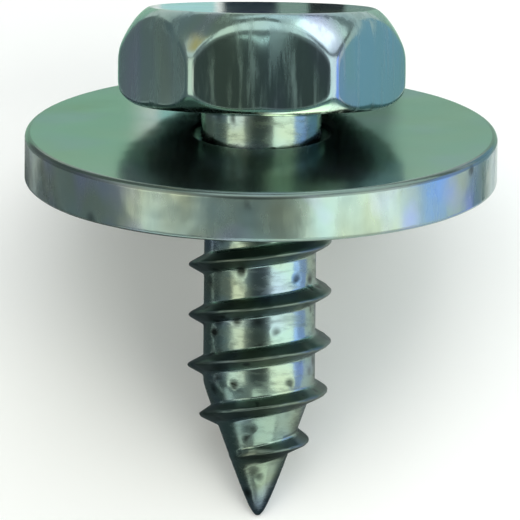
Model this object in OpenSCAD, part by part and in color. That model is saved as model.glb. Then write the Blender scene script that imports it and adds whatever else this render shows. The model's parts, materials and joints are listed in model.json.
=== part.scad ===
// Hex head self-tapping screw with a loose flat washer held captive on its neck.
// The screw is drawn along its own axis, with depth counted from the face under the head towards the point.
// It then lies as it comes to rest, on the rim of the washer and on the point, with its head towards +Y.

/* [Head] */
// Width of the hexagon across its flats
head_flats = 8; // [7:0.1:10]
// Height of the head above the face that bears on the washer
head_height = 3.16; // [2.7:0.02:4]
// Radius of the six upright edges
corner_round = 0.4; // [0.1:0.05:0.6]
// Diameter of the flat on top of the head
head_top_d = 7.1; // [6:0.1:7.4]
// Height of the rounded crown, from the flat on top down to the plain sides
crown_height = 1.76; // [0.8:0.02:2.2]
// Diameter of the face that bears on the washer
bearing_d = 7.2; // [6:0.1:7.6]
// Height of the rounded edge under the head
under_height = 0.95; // [0.3:0.05:1.3]

/* [Neck] */
// Diameter of the plain neck
neck_d = 3.8; // [3.7:0.05:4.1]
// Length of plain neck left between the tilted washer and the start of the thread
neck_spare = 0.2; // [0.1:0.05:1]
// Length over which the neck tapers down to the thread's root
neck_taper = 0.4; // [0.2:0.05:0.6]
// Radius of the fillet between the neck and the head
neck_fillet = 0.2; // [0.05:0.05:0.25]

/* [Thread and point] */
// Length of the screw from the bearing face to the point
screw_length = 13; // [12:0.5:25]
// Diameter over the thread's crests
thread_d = 4.55; // [4.5:0.05:4.8]
// Diameter at the thread's root
root_d = 3.55; // [3.4:0.05:3.65]
// Distance from one crest to the next
pitch = 1.6; // [1.5:0.05:1.8]
// Width of the narrow land along the crest
crest_land = 0.1; // [0.05:0.01:0.15]
// Angle between the two flanks of the thread
flank_angle = 56; // [50:1:66]
// Radius with which the flanks run into the root
root_fillet = 0.06; // [0.05:0.01:0.18]
// Depth of a crest on the +X side, which sets where around the neck the thread begins
crest_depth = 4.2; // [3.6:0.05:5]
// Length over which the thread rises to its full height
thread_rise = 1; // [0.5:0.1:1.6]
// Distance from the end of the thread to the point
thread_stop = 1.7; // [1.3:0.1:3]
// Length over which the thread dies away before it ends
thread_fade = 0.65; // [0.5:0.05:1.5]
// Angle of the point's side to the screw's axis
point_angle = 19.6; // [16:0.1:24]
// Radius of the blunt end of the point
nose_r = 0.1; // [0.06:0.01:0.2]

/* [Washer] */
// Outer diameter of the washer
washer_d = 15; // [13:0.1:18]
// Thickness of the washer
washer_t = 1.6; // [1:0.1:2]
// Play of the tilted washer's hole on the neck, on the diameter
hole_play = 0.12; // [0.08:0.01:0.2]
// Radius that the stamping leaves on the upper outer edge
washer_edge_r = 0.2; // [0.1:0.05:0.5]
// Width of the broken edge at the hole and below the rim
washer_break = 0.1; // [0.05:0.01:0.15]
// Angle at which the washer sits cocked on the neck
washer_tilt = 11; // [4:0.5:11]
// Gap left where the tilted washer leans on the edge of the bearing face
seat_gap = 0.03; // [0.02:0.01:0.1]

/* [Hidden] */

// Fineness of the curves: steps around a quarter curve and an upright edge, columns around the thread
curve_steps = 8;
corner_steps = 4;
thread_columns = 48;
$fn = 96;

// Neck: how far its taper goes below the thread's root, so that the two surfaces cross cleanly
taper_overlap = 0.1;

// Head: corners, and how full the curve above and the curve below are, where 2 is an ellipse
corner_centre_r = (head_flats / 2 - corner_round) / cos(30);
crown_margin = 0.06;
crown_r = corner_centre_r + corner_round + crown_margin;
crown_rise = min(crown_height, head_height - under_height);
crown_power = 1.45;
under_power = 2;

// Point on a quarter curve that turns from straight out (turn 0) to straight up (turn 90)
function quarter(turn, power) = [pow(cos(turn), 2 / power), pow(sin(turn), 2 / power)];

// Outline of the head in [radius, height]: the rounded edge below, then the rounded crown above
head_outline = concat(
    [for (i = [curve_steps : -1 : 0]) let (q = quarter(90 * i / curve_steps, under_power))
        [bearing_d / 2 + (crown_r - bearing_d / 2) * q[0], under_height * (1 - q[1])]],
    [for (i = [0 : curve_steps]) let (q = quarter(90 * i / curve_steps, crown_power))
        [head_top_d / 2 + (crown_r - head_top_d / 2) * q[0],
         head_height - crown_rise * (1 - q[1])]]
);

// Washer: its middle is as far down the axis as its lean on the bearing edge allows, and its hole
// just clears the neck at that lean
washer_depth = bearing_d / 2 * tan(washer_tilt) + (seat_gap + washer_t / 2) / cos(washer_tilt);
hole_r = (neck_d + washer_t * sin(washer_tilt)) / cos(washer_tilt) / 2 + hole_play / 2;
rim_r = washer_d / 2;
function on_washer(y, z) = [
    y * cos(washer_tilt) - z * sin(washer_tilt),
    y * sin(washer_tilt) + z * cos(washer_tilt) - washer_depth
];

// The thread starts below the lowest place that the washer's underside has over the crests
thread_start = washer_depth + washer_t / 2 / cos(washer_tilt) + thread_d / 2 * tan(washer_tilt) + neck_spare;

// Thread: the radius of the core at a depth, with the point as a hyperbola that ends in the blunt nose,
// and the height of the ridge there, which rises from the neck and dies away on the point
function point_r(left) = sqrt(pow(left * tan(point_angle), 2) + 2 * nose_r * left);
function core_r(depth) = min(root_d / 2, point_r(screw_length - depth));
function ease(x) = let (t = max(0, min(1, x))) t * t * (3 - 2 * t);
ridge_h = (thread_d - root_d) / 2;
thread_end = screw_length - thread_stop;
function ridge_height(depth) = ridge_h
    * ease((depth - thread_start) / thread_rise)
    * ease((thread_end - depth) / thread_fade);

// Section of one ridge, as [distance along the axis as a share of the pitch, share of the height]
flank_run = tan(flank_angle / 2);
flank_foot = crest_land / 2 + ridge_h * flank_run;
ridge_half = [
    [flank_foot + root_fillet, 0],
    [flank_foot - root_fillet / 2, root_fillet / 2 / flank_run / ridge_h],
    [crest_land / 2, 1]
];
ridge = concat(
    [for (p = ridge_half) [-p[0] / pitch, p[1]]],
    [for (i = [len(ridge_half) - 1 : -1 : 0]) [ridge_half[i][0] / pitch, ridge_half[i][1]]]
);
rows_per_turn = len(ridge);

// The thread's surface is a strip wound around the axis. Its depth grows by the pitch each turn,
// and on the point the turns draw together towards the nose.
closing_length = 1.2;
closing_turns = 2.5;
closing_turn = (screw_length - closing_length - crest_depth) / pitch;
function turn_depth(turn) = turn < closing_turn
    ? crest_depth + pitch * turn
    : screw_length - closing_length * exp((closing_turn - turn) * pitch / closing_length);
first_turn = floor((thread_start - neck_taper - crest_depth) / pitch - 1 - ridge[0][0]);
last_row = ceil((closing_turn + closing_turns - first_turn) * rows_per_turn);
function row_turn(row) = first_turn + floor(row / rows_per_turn) + ridge[row % rows_per_turn][0];
function strip_point(column, row) =
    let (
        depth = turn_depth(row_turn(row) + column / thread_columns),
        r = core_r(depth) + ridge_height(depth) * ridge[row % rows_per_turn][1],
        angle = -360 * column / thread_columns
    )
    [r * cos(angle), r * sin(angle), -depth];

// One turn after the last column the strip is back on column 0, so that column runs one turn further
seam_rows = last_row + rows_per_turn + 1;
strip_points = concat(
    [for (row = [0 : seam_rows - 1]) strip_point(0, row)],
    [for (column = [1 : thread_columns - 1], row = [0 : last_row]) strip_point(column, row)],
    [[0, 0, -turn_depth(row_turn(0))], [0, 0, -screw_length]]
);
top_centre = len(strip_points) - 2;
nose_tip = len(strip_points) - 1;
function strip_index(column, row) =
    column == thread_columns ? row + rows_per_turn
    : column == 0 ? row
    : seam_rows + (column - 1) * (last_row + 1) + row;

strip_faces = concat(
    [for (c = [0 : thread_columns - 1], r = [0 : last_row - 1])
        [strip_index(c + 1, r), strip_index(c, r), strip_index(c, r + 1)]],
    [for (c = [0 : thread_columns - 1], r = [0 : last_row - 1])
        [strip_index(c + 1, r), strip_index(c, r + 1), strip_index(c + 1, r + 1)]],
    [for (c = [0 : thread_columns - 1]) [top_centre, strip_index(c, 0), strip_index(c + 1, 0)]],
    [for (r = [0 : rows_per_turn - 1]) [strip_index(0, r), top_centre, strip_index(0, r + 1)]],
    [for (c = [0 : thread_columns - 1]) [nose_tip, strip_index(c + 1, last_row), strip_index(c, last_row)]],
    [for (r = [last_row : last_row + rows_per_turn - 1]) [strip_index(0, r), strip_index(0, r + 1), nose_tip]]
);

// Rest: the angle at which the common line under the rim and the point lies flat
rim_low = [
    on_washer(rim_r, washer_break - washer_t / 2),
    on_washer(rim_r - washer_break, -washer_t / 2)
];
lie_angle = max([for (rim = rim_low)
    min([for (p = strip_points) atan2(rim[0] - p[1], rim[1] - p[2])])]);
function lying_y(p) = p[0] * sin(lie_angle) + p[1] * cos(lie_angle);
function lying_z(p) = p[1] * sin(lie_angle) - p[0] * cos(lie_angle);
floor_z = min([for (rim = rim_low) lying_z(rim)]);
head_end_y = max([for (p = head_outline) lying_y([min(p[0], head_flats / 2), p[1]])]);
point_end_y = min([for (p = strip_points) lying_y([p[1], p[2]])]);

module lying() {
    translate([0, -(head_end_y + point_end_y) / 2, -floor_z])
        rotate([lie_angle - 90, 0, 0])
            children();
}

module rounded_hexagon() {
    polygon([for (corner = [0 : 60 : 300], i = [0 : corner_steps])
        let (turn = corner - 30 + 60 * i / corner_steps)
        [corner_centre_r * cos(corner) + corner_round * cos(turn),
         corner_centre_r * sin(corner) + corner_round * sin(turn)]]);
}

module head() {
    intersection() {
        linear_extrude(head_height) rounded_hexagon();
        rotate_extrude() polygon(concat([[0, 0]], head_outline, [[0, head_height]]));
    }
}

module neck() {
    neck_r = neck_d / 2;
    inside_head = head_height / 2;
    taper_end_r = root_d / 2 - taper_overlap;
    rotate_extrude() polygon(concat(
        [[0, inside_head], [neck_r + neck_fillet, inside_head]],
        [for (i = [0 : corner_steps]) let (turn = 90 * i / corner_steps)
            [neck_r + neck_fillet * (1 - sin(turn)), neck_fillet * (cos(turn) - 1)]],
        [[neck_r, neck_taper - thread_start], [taper_end_r, -thread_start], [0, -thread_start]]
    ));
}

module threaded_shank() {
    polyhedron(points = strip_points, faces = strip_faces);
}

module hex_screw() {
    color("#8b9a99") lying() {
        head();
        neck();
        threaded_shank();
    }
}

module captive_washer() {
    half = washer_t / 2;
    color("#a9b8b4") lying()
        translate([0, 0, -washer_depth])
            rotate([washer_tilt, 0, 0])
                rotate_extrude() polygon(concat(
                    [[hole_r, half - washer_break], [hole_r, washer_break - half],
                     [hole_r + washer_break, -half], [rim_r - washer_break, -half],
                     [rim_r, washer_break - half]],
                    [for (i = [0 : corner_steps]) let (turn = 90 * i / corner_steps)
                        [rim_r - washer_edge_r * (1 - cos(turn)), half - washer_edge_r * (1 - sin(turn))]],
                    [[hole_r + washer_break, half]]
                ));
}

hex_screw();
captive_washer();
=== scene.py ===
"""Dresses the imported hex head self-tapping screw: plated screw, captive washer, studio and camera."""

import json
import logging
import math
from dataclasses import dataclass
from enum import Enum
from typing import Any

import bmesh
import bpy
from mathutils import Matrix, Vector, geometry, noise


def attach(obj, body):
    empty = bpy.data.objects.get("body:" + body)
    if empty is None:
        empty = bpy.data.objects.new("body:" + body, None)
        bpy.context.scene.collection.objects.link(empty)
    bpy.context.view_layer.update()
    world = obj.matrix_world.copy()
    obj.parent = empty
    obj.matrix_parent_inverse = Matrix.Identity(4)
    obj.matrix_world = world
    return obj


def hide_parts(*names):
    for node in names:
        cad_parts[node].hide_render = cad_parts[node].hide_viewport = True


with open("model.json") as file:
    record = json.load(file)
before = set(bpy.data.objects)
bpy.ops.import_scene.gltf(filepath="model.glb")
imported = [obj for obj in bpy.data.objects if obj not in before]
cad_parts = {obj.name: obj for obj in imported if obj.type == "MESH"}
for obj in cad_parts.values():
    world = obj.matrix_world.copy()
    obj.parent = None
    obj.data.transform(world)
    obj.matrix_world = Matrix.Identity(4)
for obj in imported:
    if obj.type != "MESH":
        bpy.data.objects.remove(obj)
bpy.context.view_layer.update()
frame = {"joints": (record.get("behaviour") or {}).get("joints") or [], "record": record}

# One millimetre in metres: the pieces are built in millimetres and then laid in the row frame
MM = 0.001
# Millimetres within which vertices are one, in a single shell and after the thread is joined on
SAME_PLACE = 1e-4
JOINED_PLACE = 1e-3
# Millimetres by which a height may be off and still count as on a face
HAIR = 0.001
# A sixth of a turn, from one flat of the hexagon to the next
SIXTH = math.pi / 3
# Vertex attribute that marks how far up a thread ridge or out on the washer's rolled edge a vertex lies,
# for their darkening, and the UV map of the cards
DARKENING_MARK = "darkening"
CARD_UV = "across"
LOG = logging.getLogger("hex_screw")


def linear(colour: str) -> tuple[float, float, float, float]:
    """Turns an sRGB hex colour into linear RGBA."""
    channels = [int(colour[i:i + 2], 16) / 255 for i in (1, 3, 5)]
    return (*(c / 12.92 if c <= 0.04045 else ((c + 0.055) / 1.055) ** 2.4 for c in channels), 1.0)


def add_node(
    tree: bpy.types.NodeTree,
    kind: str,
    settings: dict[str, Any] | None = None,
    inputs: dict[str | int, Any] | None = None,
) -> bpy.types.Node:
    """Adds a node with its settings, its input values and its links.

    Args:
        tree: The node tree that gets the node.
        kind: Blender's name of the node type, without its ShaderNode prefix.
        settings: Attributes of the node itself.
        inputs: For each input socket a plain value, or the output socket that feeds it.

    Returns:
        The new node.
    """
    node = tree.nodes.new("ShaderNode" + kind)
    for name, value in (settings or {}).items():
        setattr(node, name, value)
    for name, value in (inputs or {}).items():
        if isinstance(value, bpy.types.NodeSocket):
            tree.links.new(value, node.inputs[name])
        else:
            node.inputs[name].default_value = value
    return node


def new_material(name: str) -> bpy.types.Material:
    """Makes a material whose node tree is still empty."""
    material = bpy.data.materials.new(name)
    material.use_nodes = True
    material.node_tree.nodes.clear()
    return material


def ease(x: float) -> float:
    """Runs smoothly from 0 to 1 while x does."""
    t = max(0.0, min(1.0, x))
    return t * t * (3 - 2 * t)


def soft_min(a: float, b: float, blend: float) -> float:
    """Takes the smaller of two lengths, with their crossing rounded over the blend length."""
    near = max(blend - abs(a - b), 0.0) / blend
    return min(a, b) - near * near * blend / 4


@dataclass(frozen=True)
class Axes:
    """Axes of one piece on the lying screw: its middle in the row frame and the way its axis points."""

    origin: Vector
    axis: Vector

    def turn(self) -> Matrix:
        """Gives the rotation from the piece's axes to the row frame."""
        right = Vector((1, 0, 0))
        return Matrix((right, self.axis.cross(right), self.axis)).transposed()

    def place(self) -> Matrix:
        """Gives the transform from millimetres on the piece's axes to metres in the row frame."""
        return Matrix.Translation(self.origin) @ self.turn().to_4x4() @ Matrix.Scale(MM, 4)

    def point(self, x: float, y: float, z: float) -> Vector:
        """Puts a point in millimetres on these axes into the row frame."""
        return self.place() @ Vector((x, y, z))


@dataclass(frozen=True)
class Corner:
    """A corner of a half section: distance from the axis, height, and the radius that rounds it."""

    r: float
    z: float
    radius: float = 0.0

    def point(self) -> Vector:
        """Gives the corner in the plane of the section."""
        return Vector((self.r, 0, self.z))


def rounded(corners: list[Corner], closed: bool, steps: int = 8, support: float = 0.03) -> list[Vector]:
    """Rounds the corners of a half section into arcs.

    Args:
        corners: The section's corners in order.
        closed: Whether the last corner joins the first.
        steps: Straight pieces in each arc.
        support: Distance from each arc to the extra point that keeps the flat beside it flat.

    Returns:
        The points of the rounded section.
    """
    points = []
    for i, corner in enumerate(corners):
        here = corner.point()
        at_end = not closed and i in (0, len(corners) - 1)
        if at_end or corner.radius == 0:
            points.append(here)
            continue
        before = (corners[i - 1].point() - here).normalized()
        after = (corners[(i + 1) % len(corners)].point() - here).normalized()
        half = before.angle(after) / 2
        reach = corner.radius / math.tan(half)
        centre = here + (before + after).normalized() * corner.radius / math.sin(half)
        first = here + before * reach - centre
        last = here + after * reach - centre
        points.append(centre + first + before * support)
        points += [centre + first.slerp(last, k / steps) * corner.radius for k in range(steps + 1)]
        points.append(centre + last + after * support)
    return points


def chain(points: list[Vector], closed: bool) -> bmesh.types.BMesh:
    """Strings points into a chain of edges, which a spin then turns into a surface.

    Args:
        points: The chain's points.
        closed: Whether the last point joins the first.

    Returns:
        A new bmesh with the chain.
    """
    shell = bmesh.new()
    verts = [shell.verts.new(point) for point in points]
    for first, second in zip(verts, verts[1:] + (verts[:1] if closed else [])):
        shell.edges.new((first, second))
    return shell


def repeat(shell: bmesh.types.BMesh, step: Matrix, times: int) -> None:
    """Adds copies of a shell, each one step further than the last, and merges them with it.

    Args:
        shell: The bmesh that is copied.
        step: The move from one copy to the next.
        times: Copies in all, with the first.
    """
    first = shell.verts[:] + shell.edges[:] + shell.faces[:]
    move = step.copy()
    for _ in range(times - 1):
        copied = bmesh.ops.duplicate(shell, geom=first)["geom"]
        verts = [item for item in copied if isinstance(item, bmesh.types.BMVert)]
        bmesh.ops.transform(shell, matrix=move, verts=verts)
        move = step @ move
    bmesh.ops.remove_doubles(shell, verts=shell.verts, dist=SAME_PLACE)


def spun(points: list[Vector], closed: bool, columns: int) -> bmesh.types.BMesh:
    """Turns a half section once round the axis, as a sixth that is then repeated.

    Args:
        points: The section's points.
        closed: Whether the section is a closed loop.
        columns: Steps around the axis, which six divides.

    Returns:
        A closed shell in a new bmesh.
    """
    shell = chain(points, closed)
    bmesh.ops.spin(shell, geom=shell.verts[:] + shell.edges[:], cent=(0, 0, 0), axis=(0, 0, 1),
                   dvec=(0, 0, 0), angle=SIXTH, steps=columns // 6, use_merge=False)
    repeat(shell, Matrix.Rotation(SIXTH, 4, "Z"), 6)
    seal(shell)
    return shell


def seal(shell: bmesh.types.BMesh) -> None:
    """Merges doubled vertices and turns the faces outwards."""
    bmesh.ops.remove_doubles(shell, verts=shell.verts, dist=SAME_PLACE)
    bmesh.ops.recalc_face_normals(shell, faces=shell.faces)


def as_object(name: str, shell: bmesh.types.BMesh) -> bpy.types.Object:
    """Makes an object in the scene from a bmesh.

    Args:
        name: Name of the object and its mesh.
        shell: The bmesh, which is freed.

    Returns:
        The new object, smoothly shaded.
    """
    mesh = bpy.data.meshes.new(name)
    shell.to_mesh(mesh)
    shell.free()
    mesh.polygons.foreach_set("use_smooth", [True] * len(mesh.polygons))
    obj = bpy.data.objects.new(name, mesh)
    bpy.context.scene.collection.objects.link(obj)
    return obj


@dataclass(frozen=True)
class ZincPlating:
    """Bright zinc plating under a clear passivation film, on cold-formed steel.

    To the eye it is a cool grey mirror, a little hazy, with faint olive, teal and violet from the film.
    All lengths are in millimetres.
    """

    name: str
    olive: str
    teal: str
    violet: str
    # Colour that pits, wear marks, darkened ridges and the rolled edge's painted shade go towards
    grime_and_shade: str
    roughness: float
    tint_size: tuple[float, float, float]
    grain_size: tuple[float, float, float]
    grain_depth: float
    worn_dark: float
    worn_rough: float
    ripple_size: float
    ripple_depth: float
    pit_spacing: float
    pit_share: float
    pit_depth: float
    tip_darkening: float = 0.0

    def material(self, axes: Axes) -> bpy.types.Material:
        """Makes the finish as a material, with its patterns on a piece's own axes.

        Args:
            axes: The axes along which the grain runs.

        Returns:
            The material.
        """
        material = new_material(self.name)
        tree = material.node_tree
        place = add_node(tree, "Mapping", {"vector_type": "TEXTURE"}, {
            "Vector": add_node(tree, "TexCoord").outputs["Object"],
            "Location": axes.origin,
            "Rotation": axes.turn().to_euler(),
            "Scale": (MM, MM, MM),
        }).outputs["Vector"]

        # The film's thickness drifts over the surface, and its colour with it
        drift = add_node(tree, "Mapping", {"vector_type": "TEXTURE"}, {
            "Vector": place, "Scale": self.tint_size,
        })
        film = add_node(tree, "TexNoise", None, {
            "Vector": drift.outputs["Vector"], "Scale": 1.0, "Detail": 1.0, "Roughness": 0.5,
        })
        film_parts = add_node(tree, "SeparateColor", None, {"Color": film.outputs["Color"]})
        to_teal = add_node(tree, "MapRange", None, {
            "Value": film_parts.outputs["Red"], "From Min": 0.32, "From Max": 0.68,
        })
        to_violet = add_node(tree, "MapRange", None, {
            "Value": film_parts.outputs["Green"], "From Min": 0.52, "From Max": 0.75, "To Max": 0.8,
        })
        cool = add_node(tree, "Mix", {"data_type": "RGBA"}, {
            0: to_teal.outputs["Result"], 6: linear(self.olive), 7: linear(self.teal),
        })
        tinted = add_node(tree, "Mix", {"data_type": "RGBA"}, {
            0: to_violet.outputs["Result"], 6: cool.outputs[2], 7: linear(self.violet),
        })

        # Marks that the die or the rolls drew along the surface
        stretched = add_node(tree, "Mapping", {"vector_type": "TEXTURE"}, {
            "Vector": place, "Scale": self.grain_size,
        })
        grain = add_node(tree, "TexNoise", None, {
            "Vector": stretched.outputs["Vector"], "Scale": 1.0, "Detail": 4.0, "Roughness": 0.6,
        })
        worn = add_node(tree, "MapRange", None, {
            "Value": grain.outputs["Fac"], "From Min": 0.48, "From Max": 0.72,
        })

        # Small pits that hold dirt, bunched where the film is thin: a larger share lowers the limit
        pit_limit = 0.66 - 0.3 * self.pit_share
        cells = add_node(tree, "TexVoronoi", None, {
            "Vector": place, "Scale": 1 / self.pit_spacing, "Randomness": 1.0,
        })
        hollow = add_node(tree, "MapRange", {"interpolation_type": "SMOOTHSTEP"}, {
            "Value": cells.outputs["Distance"], "From Min": 0.1, "From Max": 0.45,
            "To Min": 0.85 if self.pit_share else 0.0, "To Max": 0.0,
        })
        bunched = add_node(tree, "MapRange", None, {
            "Value": film_parts.outputs["Blue"], "From Min": pit_limit, "From Max": pit_limit + 0.04,
        })
        pits = add_node(tree, "Math", {"operation": "MULTIPLY"}, {
            0: hollow.outputs["Result"], 1: bunched.outputs["Result"],
        })
        dirt = add_node(tree, "Math", {"operation": "MULTIPLY_ADD"}, {
            0: worn.outputs["Result"], 1: self.worn_dark, 2: pits.outputs["Value"],
        })

        # Ridges darken and haze towards their tops. The washer's rolled edge darkens and hazes towards
        # its tip as painted shade, which takes away the highlight line the lamps leave along it
        darkened_tips = add_node(tree, "MapRange", {"interpolation_type": "SMOOTHSTEP"}, {
            "Value": add_node(tree, "Attribute", {"attribute_name": DARKENING_MARK}).outputs["Fac"],
            "From Min": 0.02, "From Max": 0.3, "To Max": self.tip_darkening,
        })
        darkening = add_node(tree, "Math", {"operation": "MAXIMUM"}, {
            0: darkened_tips.outputs["Result"], 1: dirt.outputs["Value"],
        })
        colour = add_node(tree, "Mix", {"data_type": "RGBA"}, {
            0: darkening.outputs["Value"], 6: tinted.outputs[2], 7: linear(self.grime_and_shade),
        })
        haze = add_node(tree, "Math", {"operation": "MAXIMUM"}, {
            0: darkened_tips.outputs["Result"], 1: worn.outputs["Result"],
        })
        roughness = add_node(tree, "MapRange", None, {
            "Value": haze.outputs["Value"],
            "To Min": self.roughness, "To Max": self.roughness + self.worn_rough,
        })

        # Heights in millimetres: the grain and a shallow ripple stand up, the pits go in
        ripple = add_node(tree, "TexNoise", None, {
            "Vector": place, "Scale": 1 / self.ripple_size, "Detail": 1.0,
        })
        grain_height = add_node(tree, "Math", {"operation": "MULTIPLY"}, {
            0: grain.outputs["Fac"], 1: self.grain_depth,
        })
        rippled = add_node(tree, "Math", {"operation": "MULTIPLY_ADD"}, {
            0: ripple.outputs["Fac"], 1: self.ripple_depth, 2: grain_height.outputs["Value"],
        })
        pitted = add_node(tree, "Math", {"operation": "MULTIPLY_ADD"}, {
            0: pits.outputs["Value"], 1: -self.pit_depth, 2: rippled.outputs["Value"],
        })
        bump = add_node(tree, "Bump", None, {
            "Height": pitted.outputs["Value"], "Distance": MM,
        })
        shader = add_node(tree, "BsdfPrincipled", None, {
            "Base Color": colour.outputs[2],
            "Metallic": 1.0,
            "Roughness": roughness.outputs["Result"],
            "Normal": bump.outputs["Normal"],
        })
        add_node(tree, "OutputMaterial", None, {"Surface": shader.outputs["BSDF"]})
        return material


class Plating(Enum):
    """The plating as it looks on each part of the screw."""

    # Cold-drawn flats: a cool mirror with soft upright streaks
    HEAD = ZincPlating(
        name="bright_zinc_on_drawn_hexagon", olive="#82988a", teal="#7d989b", violet="#8a90a8",
        grime_and_shade="#33403f", roughness=0.18, tint_size=(1.8, 1.8, 6.0), grain_size=(0.4, 0.4, 4.0),
        grain_depth=0.007, worn_dark=0.1, worn_rough=0.3,
        ripple_size=1.4, ripple_depth=0.02, pit_spacing=0.9, pit_share=0.1, pit_depth=0.003,
    )
    # Upset top: the same mirror without streaks, a little uneven from the punch
    TOP = ZincPlating(
        name="bright_zinc_on_upset_top", olive="#83988b", teal="#80999a", violet="#8a92a6",
        grime_and_shade="#33403f", roughness=0.18, tint_size=(2.4, 2.4, 2.4), grain_size=(1.0, 1.0, 1.0),
        grain_depth=0.002, worn_dark=0.06, worn_rough=0.04,
        ripple_size=1.6, ripple_depth=0.02, pit_spacing=0.9, pit_share=0.0, pit_depth=0.0,
    )
    # Rolled thread: bright core, green-black dirt in its pits, and ridges darkened towards their tops
    SHANK = ZincPlating(
        name="bright_zinc_on_rolled_thread", olive="#8a9a88", teal="#849e98", violet="#8496aa",
        grime_and_shade="#262e2a", roughness=0.19, tint_size=(1.6, 1.6, 1.2), grain_size=(0.9, 0.9, 0.25),
        grain_depth=0.006, worn_dark=0.35, worn_rough=0.2,
        ripple_size=0.9, ripple_depth=0.012, pit_spacing=0.6, pit_share=0.75, pit_depth=0.012,
        tip_darkening=0.62,
    )
    # Stamped face: the greenest film, drifting in broad patches
    WASHER = ZincPlating(
        name="bright_zinc_on_stamped_face", olive="#83988a", teal="#7e9992", violet="#8695a2",
        grime_and_shade="#434e49", roughness=0.19, tint_size=(2.4, 2.4, 2.4), grain_size=(0.8, 0.8, 0.8),
        grain_depth=0.002, worn_dark=0.05, worn_rough=0.02,
        ripple_size=2.2, ripple_depth=0.03, pit_spacing=0.8, pit_share=0.0, pit_depth=0.0,
        # Painted shade: at its tip the rolled edge goes this far towards the grime and shade colour
        tip_darkening=0.6,
    )
    # Sheared rim: nearly neutral grey, with faint upright marks of the cut
    RIM = ZincPlating(
        name="bright_zinc_on_sheared_rim", olive="#8d9c8c", teal="#88a1a0", violet="#929cb4",
        grime_and_shade="#46504f", roughness=0.22, tint_size=(1.4, 1.4, 2.0), grain_size=(0.8, 0.8, 2.4),
        grain_depth=0.006, worn_dark=0.15, worn_rough=0.15,
        ripple_size=0.9, ripple_depth=0.02, pit_spacing=0.8, pit_share=0.1, pit_depth=0.003,
        # Painted shade: at its tip the rolled edge goes this far towards the grime and shade colour
        tip_darkening=0.6,
    )


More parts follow.
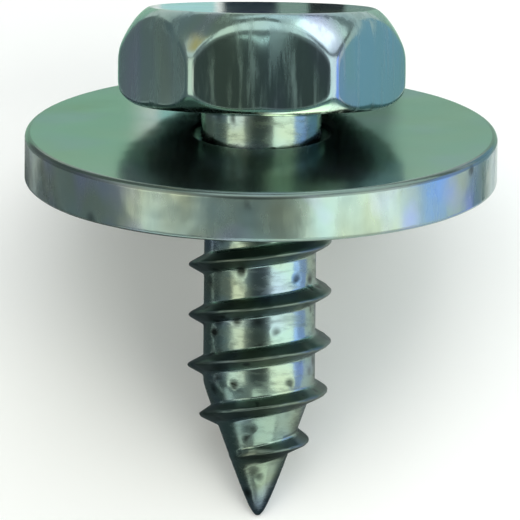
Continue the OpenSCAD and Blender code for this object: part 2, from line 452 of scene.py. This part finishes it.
@dataclass(frozen=True)
class HexScrew:
    """Hexagon head, plain neck, tapping thread and cone point, in millimetres on the screw's own axis.

    Heights count up from the face under the head, and depths count down from it.
    """

    # Head, where the softness of a flat's edge is a share of the blend
    head_flats: float = 8.0
    head_height: float = 3.16
    head_top_d: float = 7.1
    crown_height: float = 1.76
    bearing_d: float = 7.2
    under_height: float = 0.95
    corner_round: float = 0.4
    crown_margin: float = 0.06
    crown_power: float = 1.45
    edge_blend: float = 0.22
    corner_softness: float = 0.4
    flat_softness: float = 1.4
    bearing_support: float = 0.05
    # Neck, into which the thread's core reaches by a number of tapers
    neck_d: float = 3.8
    neck_fillet: float = 0.2
    neck_taper: float = 0.4
    taper_round: float = 0.1
    taper_overlap: float = 0.1
    tapers_inside: float = 1.5
    # Thread and point
    thread_start: float = 3.0
    thread_d: float = 4.55
    root_d: float = 3.55
    pitch: float = 1.6
    crest_land: float = 0.1
    flank_angle: float = 56.0
    root_fillet: float = 0.06
    crest_depth: float = 4.2
    thread_rise: float = 1.0
    thread_stop: float = 1.7
    thread_fade: float = 0.65
    screw_length: float = 13.0
    point_angle: float = 19.6
    nose_r: float = 0.1
    nose_cut: float = 0.012
    cone_blend: float = 0.08
    # Wear of the crests, with the number of patches to a millimetre
    crest_wear: float = 0.08
    wear_scale: float = 2.5
    # Fineness
    curve_steps: int = 30
    head_columns: int = 480
    thread_columns: int = 120

    def corner_centre_r(self) -> float:
        """Gives the distance from the axis to the middle of an upright edge's arc."""
        return (self.head_flats / 2 - self.corner_round) / math.cos(math.pi / 6)

    def head_section(self) -> list[Vector]:
        """Draws the half section of head and neck, from the middle of the top down to the neck's end.

        Returns:
            The section's points.
        """
        top_r = self.head_top_d / 2
        crown_r = self.corner_centre_r() + self.corner_round + self.crown_margin
        low_r = self.bearing_d / 2
        neck_r = self.neck_d / 2
        steps = self.curve_steps
        full = 2 / self.crown_power
        top = [Vector((top_r * share, 0, self.head_height)) for share in (0, 0.4, 0.8, 0.95)]
        crown = []
        under = []
        for i in range(steps + 1):
            out = math.sin(math.pi / 2 * i / steps)
            up = max(math.cos(math.pi / 2 * i / steps), 0)
            crown.append(Vector((top_r + (crown_r - top_r) * out ** full, 0,
                                 self.head_height - self.crown_height * (1 - up ** full))))
            under.append(Vector((low_r + (crown_r - low_r) * up, 0, self.under_height * (1 - out))))
        side = [Vector((crown_r, 0, self.under_height + (crown[-1].z - self.under_height) * share))
                for share in (0.8, 0.6, 0.4, 0.2)]
        below = rounded([
            Corner(low_r - self.bearing_support, 0),
            Corner(neck_r, 0, self.neck_fillet),
            Corner(neck_r, self.neck_taper - self.thread_start, self.taper_round),
            Corner(self.root_d / 2 - self.taper_overlap, -self.thread_start),
            Corner(0, -self.thread_start),
        ], closed=False)
        return top + crown + side + under + below

    @staticmethod
    def from_corner(angle: float) -> float:
        """Gives the angle from the nearest corner of the hexagon, which has a corner at 0."""
        return abs((angle + SIXTH / 2) % SIXTH - SIXTH / 2)

    def hexagon_r(self, angle: float) -> float:
        """Gives the hexagon's distance from the axis at an angle, with its upright edges rounded.

        Args:
            angle: Angle around the axis, with a corner at 0.

        Returns:
            The distance.
        """
        off_corner = self.from_corner(angle)
        centre = self.corner_centre_r()
        arc_ends = math.atan2(self.corner_round / 2, centre + self.corner_round * math.cos(SIXTH / 2))
        if off_corner < arc_ends:
            across = centre * math.sin(off_corner)
            return centre * math.cos(off_corner) + math.sqrt(self.corner_round ** 2 - across ** 2)
        return self.head_flats / 2 / math.cos(SIXTH / 2 - off_corner)

    def flat_blend(self, angle: float) -> float:
        """Gives the softness of a flat's edge at an angle: most at its middle, least at a corner."""
        to_middle = self.from_corner(angle) / (SIXTH / 2)
        return self.edge_blend * (self.corner_softness + self.flat_softness * to_middle ** 2)

    def press_hexagon(self, shell: bmesh.types.BMesh) -> None:
        """Presses the six flats into the round head.

        Args:
            shell: The spun head and neck.
        """
        for vert in shell.verts:
            r = vert.co.xy.length
            if vert.co.z < -HAIR or r < self.neck_d / 2 + self.neck_fillet:
                continue
            angle = math.atan2(vert.co.y, vert.co.x)
            pressed = soft_min(r, self.hexagon_r(angle), self.flat_blend(angle))
            vert.co.xy *= pressed / r

    def ridge_height(self) -> float:
        """Gives the height of the thread from root to crest."""
        return (self.thread_d - self.root_d) / 2

    def ridge_section(self) -> list[Vector]:
        """Draws one pitch of the thread's section, from the middle of one root to the next.

        Returns:
            The section's points, at the thread's full height.
        """
        height = self.ridge_height()
        slope = math.tan(math.radians(self.flank_angle / 2))
        land = self.crest_land / 2
        foot = land + height * slope
        start = foot + self.root_fillet
        stop = foot - self.root_fillet / 2
        stop_height = self.root_fillet / 2 / slope
        shoulder = 0.1
        bends = [
            ((start, 0.0), (foot, 0.0), (stop, stop_height), 7),
            ((land + shoulder * slope, height - shoulder), (land, height), (0.0, height), 5),
        ]
        half = [Vector((self.pitch / 2, 0, 0)), Vector(((self.pitch / 2 + start) / 2, 0, 0))]
        for first, control, last, count in bends:
            a, b, c = (Vector((*p, 0)) for p in (first, control, last))
            half += geometry.interpolate_bezier(a, a + (b - a) * 2 / 3, c + (b - c) * 2 / 3, c, count)
        full = half + [Vector((-p.x, p.y, 0)) for p in reversed(half[:-1])]
        return [Vector((self.root_d / 2 + p.y, 0, p.x)) for p in full]

    def core_r(self, depth: float) -> float:
        """Gives the core's radius at a depth: the root, then the cone with its blunt nose."""
        left = max(self.screw_length - depth, 0)
        slope = math.tan(math.radians(self.point_angle))
        cone = math.hypot(left * slope, math.sqrt(2 * self.nose_r * left))
        return soft_min(self.root_d / 2, cone, self.cone_blend)

    def ridge_share(self, depth: float) -> float:
        """Gives the share of the thread's full height that the ridge has at a depth."""
        rise = ease((depth - self.thread_start) / self.thread_rise)
        return rise * ease((self.screw_length - self.thread_stop - depth) / self.thread_fade)

    def wind_thread(self) -> bmesh.types.BMesh:
        """Winds the thread round the core and shapes it into shank and point.

        Returns:
            A closed shell from inside the neck to the nose.
        """
        first_turn = math.floor(-self.crest_depth / self.pitch)
        turns = math.ceil(self.screw_length / self.pitch) + 2
        top = Vector((0, 0, -self.crest_depth - self.pitch * first_turn))
        shell = chain([point + top for point in self.ridge_section()], closed=False)
        bmesh.ops.spin(shell, geom=shell.verts[:] + shell.edges[:], cent=(0, 0, 0), axis=(0, 0, 1),
                       dvec=(0, 0, -self.pitch / self.thread_columns), angle=-2 * math.pi,
                       steps=self.thread_columns, use_merge=False)
        repeat(shell, Matrix.Translation((0, 0, -self.pitch)), turns)
        inside_neck = -(self.thread_start - self.tapers_inside * self.neck_taper)
        for height, sign in ((inside_neck, 1), (self.nose_cut - self.screw_length, -1)):
            bmesh.ops.bisect_plane(shell, geom=shell.verts[:] + shell.edges[:] + shell.faces[:],
                                   plane_co=(0, 0, height), plane_no=(0, 0, sign), clear_outer=True)
        for vert in shell.verts:
            r = vert.co.xy.length
            ridge = (r - self.root_d / 2) * self.ridge_share(-vert.co.z)
            patch = max(noise.noise(vert.co * self.wear_scale), 0)
            worn = self.crest_wear * patch * ridge / self.ridge_height()
            vert.co.xy *= (self.core_r(-vert.co.z) + ridge - worn) / r
        bmesh.ops.holes_fill(shell, edges=shell.edges, sides=0)
        seal(shell)
        return shell

    def build(self) -> bpy.types.Object:
        """Joins head, neck, thread and point into one piece.

        Returns:
            The object, still on its own axis.
        """
        head = spun(self.head_section(), closed=False, columns=self.head_columns)
        self.press_hexagon(head)
        screw = as_object("plated_hex_screw", head)
        thread = as_object("thread_to_join", self.wind_thread())
        join = screw.modifiers.new("join_thread", "BOOLEAN")
        join.operation = "UNION"
        join.solver = "EXACT"
        join.object = thread
        graph = bpy.context.evaluated_depsgraph_get()
        joined = bpy.data.meshes.new_from_object(screw.evaluated_get(graph))

        # The join leaves close vertices and many-sided faces, which would export as slivers
        shell = bmesh.new()
        shell.from_mesh(joined)
        bmesh.ops.remove_doubles(shell, verts=shell.verts, dist=JOINED_PLACE)
        bmesh.ops.triangulate(shell, faces=[face for face in shell.faces if len(face.verts) > 4])
        shell.to_mesh(joined)
        shell.free()
        screw.modifiers.clear()
        screw.data = joined
        bpy.data.objects.remove(thread)
        return screw

    def plating_at(self, height: float) -> Plating:
        """Gives the finish that the screw has at a height."""
        if height > self.head_height - HAIR:
            return Plating.TOP
        return Plating.HEAD if height > -HAIR else Plating.SHANK

    def dress(self, screw: bpy.types.Object, axes: Axes) -> None:
        """Plates top, head and shank, and lays the screw in its place on its body.

        Args:
            screw: The object from build, still on its own axis.
            axes: The screw's axes.
        """
        screw.data.materials.clear()
        platings = [Plating.HEAD, Plating.SHANK, Plating.TOP]
        for plating in platings:
            screw.data.materials.append(plating.value.material(axes))
        for face in screw.data.polygons:
            face.material_index = platings.index(self.plating_at(face.center.z))
            face.use_smooth = True
        # The thread's ridges are marked to darken towards their tops
        darkening = screw.data.attributes.new(DARKENING_MARK, "FLOAT", "POINT")
        for vert, mark in zip(screw.data.vertices, darkening.data):
            above_core = vert.co.xy.length - self.core_r(-vert.co.z)
            mark.value = above_core / self.ridge_height() if vert.co.z < -self.thread_start else 0
        screw.data.transform(axes.place())
        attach(screw, "screw")
        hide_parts("hex_screw")


@dataclass(frozen=True)
class CaptiveWasher:
    """Flat washer stamped from sheet, in millimetres on its own axis, with its middle at the origin.

    The scale of its waves is their number to a millimetre. A face belongs to the rim where its normal
    rises or falls by less than the rim's slope.
    """

    outer_d: float = 15.0
    hole_d: float = 4.302
    thickness: float = 1.6
    rolled_edge: float = 0.2
    resting_edge: float = 0.14
    broken_edge: float = 0.1
    unevenness: float = 0.02
    wave_scale: float = 0.45
    rim_slope: float = 0.5
    # How fast the painted shade on the rolled edge grows towards its tip
    edge_shade: float = 2.0
    longest_edge: float = 0.5
    edge_cuts: int = 4
    columns: int = 360

    def build(self) -> bpy.types.Object:
        """Spins the washer from its section, with the slight waves that stamping leaves.

        Returns:
            The object, still on its own axis.
        """
        half = self.thickness / 2
        hole = self.hole_d / 2
        rim = self.outer_d / 2
        section = rounded([
            Corner(hole, half, self.broken_edge),
            Corner(hole, -half, self.broken_edge),
            Corner((hole + rim) / 2, -half),
            Corner(rim, -half, self.resting_edge),
            Corner(rim, half, self.rolled_edge),
            Corner((hole + rim) / 2, half),
        ], closed=True)
        shell = spun(section, closed=True, columns=self.columns)
        long_edges = [edge for edge in shell.edges if edge.calc_length() > self.longest_edge]
        bmesh.ops.subdivide_edges(shell, edges=long_edges, cuts=self.edge_cuts, use_grid_fill=True)
        seal(shell)
        shell.normal_update()

        # The waves only go inwards, so that the washer keeps within its sizes
        half_wave = 0.5 * self.unevenness
        inwards = [-half_wave * (1 + noise.noise(v.co * self.wave_scale)) * v.normal for v in shell.verts]
        for vert, step in zip(shell.verts, inwards):
            vert.co += step
        return as_object("plated_captive_washer", shell)

    def dress(self, washer: bpy.types.Object, axes: Axes) -> None:
        """Plates the washer and lays it in its place on its body.

        Args:
            washer: The object from build.
            axes: The washer's axes.
        """
        for plating in (Plating.WASHER, Plating.RIM):
            washer.data.materials.append(plating.value.material(axes))
        rolled_r = self.outer_d / 2 - self.rolled_edge
        for face in washer.data.polygons:
            on_rim = abs(face.normal.z) < self.rim_slope and face.center.xy.length > rolled_r
            face.material_index = 1 if on_rim else 0
        # Painted shade: the rolled edge round the top is marked to darken towards its tip, taking away
        # the highlight the lamps leave along it
        darkening = washer.data.attributes.new(DARKENING_MARK, "FLOAT", "POINT")
        for vert, mark in zip(washer.data.vertices, darkening.data):
            above = vert.co.z - self.thickness / 2 + self.rolled_edge
            past = Vector((vert.co.xy.length - rolled_r, above))
            mark.value = max(min(past) / self.rolled_edge, 0) * self.edge_shade
        washer.data.transform(axes.place())
        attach(washer, "washer")
        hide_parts("captive_washer")


def looking_back(where: Vector, out: Vector, up: Vector) -> Matrix:
    """Places a lamp or camera that looks against a direction.

    Args:
        where: Its place.
        out: The direction from what it looks at towards it.
        up: The direction that is upwards in its picture.

    Returns:
        Its matrix.
    """
    level = (up - out * up.dot(out)).normalized()
    return Matrix.Translation(where) @ Matrix((level.cross(out), level, out)).transposed().to_4x4()


@dataclass(frozen=True)
class Lamp:
    """A soft box: which way it hangs from the part, its size in metres, its colour and brightness."""

    name: str
    toward: tuple[float, float, float]
    distance: float
    width: float
    length: float
    colour: str
    radiance: float

    def hang(self, axes: Axes, middle: Vector) -> None:
        """Hangs the lamp facing the part, with its length along the screw.

        Args:
            axes: The screw's axes.
            middle: The point that the lamp faces.
        """
        data = bpy.data.lights.new(self.name, "AREA")
        data.shape = "RECTANGLE"
        data.size = self.width
        data.size_y = self.length
        data.color = linear(self.colour)[:3]
        data.energy = self.radiance * math.pi * self.width * self.length
        lamp = bpy.data.objects.new(self.name, data)
        out = Vector(self.toward).normalized()
        lamp.matrix_world = looking_back(middle + out * self.distance, out, axes.axis)
        lamp.visible_camera = False
        bpy.context.scene.collection.objects.link(lamp)


@dataclass(frozen=True)
class Card:
    """A glowing card that the metal mirrors and the camera doesn't see.

    Lengths are in millimetres, and soft is the share of the card over which its edges fade.
    A one-sided card is clear from behind.
    """

    name: str
    middle: tuple[float, float, float]
    half_width: tuple[float, float, float]
    half_length: tuple[float, float, float]
    colour: str
    radiance: float
    soft: float = 0.1
    one_sided: bool = False

    def material(self) -> bpy.types.Material:
        """Makes the card's glow, which fades towards the card's edges.

        Returns:
            The material.
        """
        material = new_material(self.name)
        tree = material.node_tree
        glow = add_node(tree, "Emission", None, {"Color": linear(self.colour), "Strength": self.radiance})
        centred = add_node(tree, "VectorMath", {"operation": "SUBTRACT"}, {
            0: add_node(tree, "UVMap", {"uv_map": CARD_UV}).outputs["UV"], 1: (0.5, 0.5, 0),
        })
        off_middle = add_node(tree, "VectorMath", {"operation": "ABSOLUTE"}, {
            0: centred.outputs["Vector"],
        })
        parts = add_node(tree, "SeparateXYZ", None, {"Vector": off_middle.outputs["Vector"]})
        furthest = add_node(tree, "Math", {"operation": "MAXIMUM"}, {
            0: parts.outputs["X"], 1: parts.outputs["Y"],
        })
        solid = add_node(tree, "MapRange", {"interpolation_type": "SMOOTHSTEP"}, {
            "Value": furthest.outputs["Value"], "From Min": 0.5 - self.soft, "From Max": 0.5,
            "To Min": 1.0, "To Max": 0.0,
        })
        shown = solid.outputs["Result"]
        if self.one_sided:
            behind = add_node(tree, "NewGeometry").outputs["Backfacing"]
            front_only = add_node(tree, "Math", {"operation": "SUBTRACT", "use_clamp": True}, {
                0: shown, 1: behind,
            })
            shown = front_only.outputs["Value"]
        faded = add_node(tree, "MixShader", None, {
            0: shown,
            1: add_node(tree, "BsdfTransparent").outputs["BSDF"],
            2: glow.outputs["Emission"],
        })
        add_node(tree, "OutputMaterial", None, {"Surface": faded.outputs["Shader"]})
        return material

    def stand(self) -> None:
        """Stands the card up where reflections meet it, hidden from the camera and casting no shade."""
        columns = [Vector(self.half_width), Vector(self.half_length), Vector((0, 0, 0))]
        place = Matrix(columns).transposed().to_4x4()
        place.translation = Vector(self.middle)
        shell = bmesh.new()
        shell.loops.layers.uv.new(CARD_UV)
        bmesh.ops.create_grid(shell, x_segments=1, y_segments=1, size=1, calc_uvs=True,
                              matrix=Matrix.Scale(MM, 4) @ place)
        card = as_object(self.name, shell)
        card.data.materials.append(self.material())
        card.visible_camera = False
        card.visible_diffuse = False
        card.visible_shadow = False
        card.visible_transmission = False


@dataclass(frozen=True)
class Studio:
    """Pale floor, soft boxes, mirrored cards and the camera that looks down on the lying screw.

    Lengths are in metres and angles in degrees. The camera aims at a height in millimetres on the
    screw's axis. The dark part of the room begins and is full at the cosines of two angles.
    """

    frame_width: float = 16.49 * MM
    distance: float = 0.28
    raised: float = 4.6
    lean: float = 0.54
    aim_height: float = -4.855
    floor_size: float = 0.6
    floor_colour: str = "#f8f9f9"
    sky: str = "#a9aeae"
    dark: str = "#5a6161"
    dark_toward: tuple[float, float, float] = (-0.05, -0.58, 0.81)
    dark_begins: float = 0.9135
    dark_full: float = 0.985
    lamps: tuple[Lamp, ...] = (
        Lamp("right_box", (0.754, -0.408, 0.520), 0.3, 0.29, 0.3, "#fafbf0", 2.15),
        Lamp("right_strip", (0.995, -0.123, 0.048), 0.3, 0.084, 0.2, "#a4b8ff", 2.6),
        Lamp("left_box", (-0.766, -0.401, 0.508), 0.3, 0.2, 0.2, "#fff4e2", 1.75),
        Lamp("front_box", (0.22, -0.93, 0.22), 0.3, 0.3, 0.09, "#f8fff4", 1.3),
        Lamp("back_left_box", (-0.7, 0.22, 0.62), 0.3, 0.16, 0.16, "#f8f6ec", 1.3),
        Lamp("back_box", (0.57, 0.6, 0.56), 0.3, 0.24, 0.24, "#ffffff", 1.5),
        Lamp("back_low_box", (0.1, 0.93, 0.35), 0.3, 0.14, 0.16, "#f0f5ff", 1.4),
        Lamp("top_box", (0.0, 0.25, 0.97), 0.3, 0.26, 0.2, "#ffffff", 1.6),
    )
    cards: tuple[Card, ...] = (
        # Either side: what the rim and the flats mirror
        Card("left_low_card", (-13, -3.9, 2.5), (0, 8.1, 0), (0, 0, 2.5), "#596164", 1.0),
        Card("left_high_card", (-13, 3, 7.5), (0, 13, 0), (0, 0, 4.4), "#8e979c", 1.0),
        Card("left_back_card", (-13, 10, 3.4), (0, 6.5, 0), (0, 0, 3.6), "#989c9c", 1.0),
        Card("right_low_card", (13, -5, 2.5), (0, 7, 0), (0, 0, 2.5), "#a9b8f2", 1.6),
        Card("right_high_card", (13, 0, 9.4), (0, 4, 0), (0, 0, 2.6), "#9dbaff", 2.2),
        Card("right_back_card", (13, 9, 3.6), (0, 7.5, 0), (0, 0, 3.6), "#aad4ec", 1.2),
        Card("right_far_card", (12.9, 2.2, 2.2), (0, 1.7, 0), (0, 0, 2.2), "#6f8a88", 1.0),
        # On the floor behind: what the washer's face and the head's top mirror
        Card("back_left_sheet", (-9, 12.5, 0.05), (5.6, 0, 0), (0, 7, 0), "#b6e1c6", 1.0),
        Card("back_right_sheet", (9, 12.5, 0.05), (5.6, 0, 0), (0, 7, 0), "#bce1cb", 1.0),
        Card("back_middle_sheet", (1.6, 14, 0.07), (3.1, 0, 0), (0, 6, 0), "#86a398", 1.0),
        Card("back_teal_sheet", (-2.45, 14, 0.06), (1.0, 0, 0), (0, 6, 0), "#bff1ef", 1.0),
        Card("back_flag_left", (-0.4, 14, 0.1), (1.05, 0, 0), (0, 6, 0), "#1a2636", 1.0, 0.15),
        Card("back_flag_right", (2.1, 14, 0.1), (0.7, 0, 0), (0, 6, 0), "#161b1e", 1.0, 0.15),
        # Close to the head: the bright patches on its crown, its front flat and its left edge
        Card("crown_left_card", (-4.1, 4.2, 13.0), (0.44, 1.04, 0.08), (0.56, -0.5, 0.65),
             "#f0d590", 1.5, 0.4),
        Card("crown_right_card", (3.2, 5.4, 13.05), (1.4, -1.22, -0.26), (0.09, 0.78, -0.58),
             "#fffdf8", 4.0, 0.2),
        Card("front_streak_left", (-0.5, 1.1, 16.0), (0.18, 0, 0), (0, 0.65, 0.39), "#e8f4f0", 3.4, 0.4),
        Card("front_streak_middle", (0, 1.0, 15.9), (0.2, 0, 0), (0, 0.9, 0.54), "#eef8f4", 3.6, 0.4),
        Card("front_streak_right", (0.45, 1.1, 16.0), (0.18, 0, 0), (0, 0.7, 0.42), "#e4f2f0", 3.2, 0.4),
        Card("left_edge_card", (-3.14, 0.78, 12.67), (0.49, -0.1, 0.17), (0, 0.77, 0.47),
             "#ffede2", 2.4, 0.4),
        # Just above the washer, clear from below: the pale patch on the edge under the head
        Card("under_head_card", (1.8, 0.747, 8.635), (2.0, 0, 0), (0, 0.639, -0.703),
             "#fbffdf", 3.6, 0.25, one_sided=True),
        # Painted shade: a dark sheet on the floor below the shank, where its shadow falls, which the
        # shank's lower side mirrors
        Card("shade_sheet_under_shank", (-4.5, -4, 0.02), (9.5, 0, 0), (0, 13, 0), "#4a5456", 1.0, 0.22),
    )

    def aim_camera(self, axes: Axes) -> None:
        """Sets up the camera at the photograph's angle.

        Args:
            axes: The screw's axes.
        """
        data = bpy.data.cameras.new("camera")
        data.sensor_width = 36
        data.lens = data.sensor_width * self.distance / self.frame_width
        data.clip_start = 0.01
        camera = bpy.data.objects.new("camera", data)
        raised = math.radians(self.raised)
        out = axes.turn() @ Vector((0, -math.cos(raised), math.sin(raised)))
        up = Matrix.Rotation(math.radians(self.lean), 3, out) @ axes.axis
        middle = axes.point(0, 0, self.aim_height)
        camera.matrix_world = looking_back(middle + out * self.distance, out, up)
        bpy.context.scene.collection.objects.link(camera)
        bpy.context.scene.camera = camera

    def lay_floor(self) -> None:
        """Lays the pale floor that the screw lies on."""
        shell = bmesh.new()
        bmesh.ops.create_grid(shell, x_segments=4, y_segments=4, size=self.floor_size / 2)
        floor = as_object("floor", shell)
        material = new_material("matte_white_board")
        tree = material.node_tree
        shader = add_node(tree, "BsdfPrincipled", None, {
            "Base Color": linear(self.floor_colour), "Roughness": 0.9, "Specular IOR Level": 0.2,
        })
        add_node(tree, "OutputMaterial", None, {"Surface": shader.outputs["BSDF"]})
        floor.data.materials.append(material)

    def paint_world(self) -> None:
        """Paints pale surroundings, with a dark room behind the camera for the metal to mirror."""
        world = bpy.data.worlds.new("studio")
        bpy.context.scene.world = world
        world.use_nodes = True
        tree = world.node_tree
        tree.nodes.clear()
        toward = add_node(tree, "VectorMath", {"operation": "DOT_PRODUCT"}, {
            0: add_node(tree, "TexCoord").outputs["Generated"],
            1: Vector(self.dark_toward).normalized(),
        })
        shade = add_node(tree, "MapRange", {"interpolation_type": "SMOOTHSTEP"}, {
            "Value": toward.outputs["Value"], "From Min": self.dark_begins, "From Max": self.dark_full,
        })
        colour = add_node(tree, "Mix", {"data_type": "RGBA"}, {
            0: shade.outputs["Result"], 6: linear(self.sky), 7: linear(self.dark),
        })
        light = add_node(tree, "Background", None, {"Color": colour.outputs[2], "Strength": 1.0})
        add_node(tree, "OutputWorld", None, {"Surface": light.outputs["Background"]})

    def build(self, axes: Axes) -> None:
        """Sets up camera, floor, world, lamps and cards.

        Args:
            axes: The screw's axes.
        """
        self.aim_camera(axes)
        self.lay_floor()
        self.paint_world()
        for lamp in self.lamps:
            lamp.hang(axes, axes.point(0, 0, self.aim_height))
        for card in self.cards:
            card.stand()
        bpy.context.scene.view_settings.view_transform = "Standard"


def main() -> None:
    """Builds the screw, the washer and the studio around them."""
    logging.basicConfig(level=logging.INFO, format="%(name)s: %(message)s")
    head_top = next(mount for mount in frame["record"]["mounts"] if mount["name"] == "head_top")
    spin = next(joint for joint in frame["joints"] if joint["name"] == "washer_spin")
    hex_screw = HexScrew()
    along = Vector(head_top["axis"]).normalized()
    screw_axes = Axes(Vector(head_top["pos_m"]) - along * hex_screw.head_height * MM, along)
    washer_axes = Axes(Vector(spin["pos_m"]), Vector(spin["axis"]).normalized())

    screw = hex_screw.build()
    hex_screw.dress(screw, screw_axes)
    LOG.info("%s: %d faces", screw.name, len(screw.data.polygons))
    captive_washer = CaptiveWasher()
    washer = captive_washer.build()
    captive_washer.dress(washer, washer_axes)
    LOG.info("%s: %d faces", washer.name, len(washer.data.polygons))
    studio = Studio()
    studio.build(screw_axes)
    LOG.info("studio: floor, world, camera, %d lamps and %d cards", len(studio.lamps), len(studio.cards))


if __name__ == "__main__":
    main()
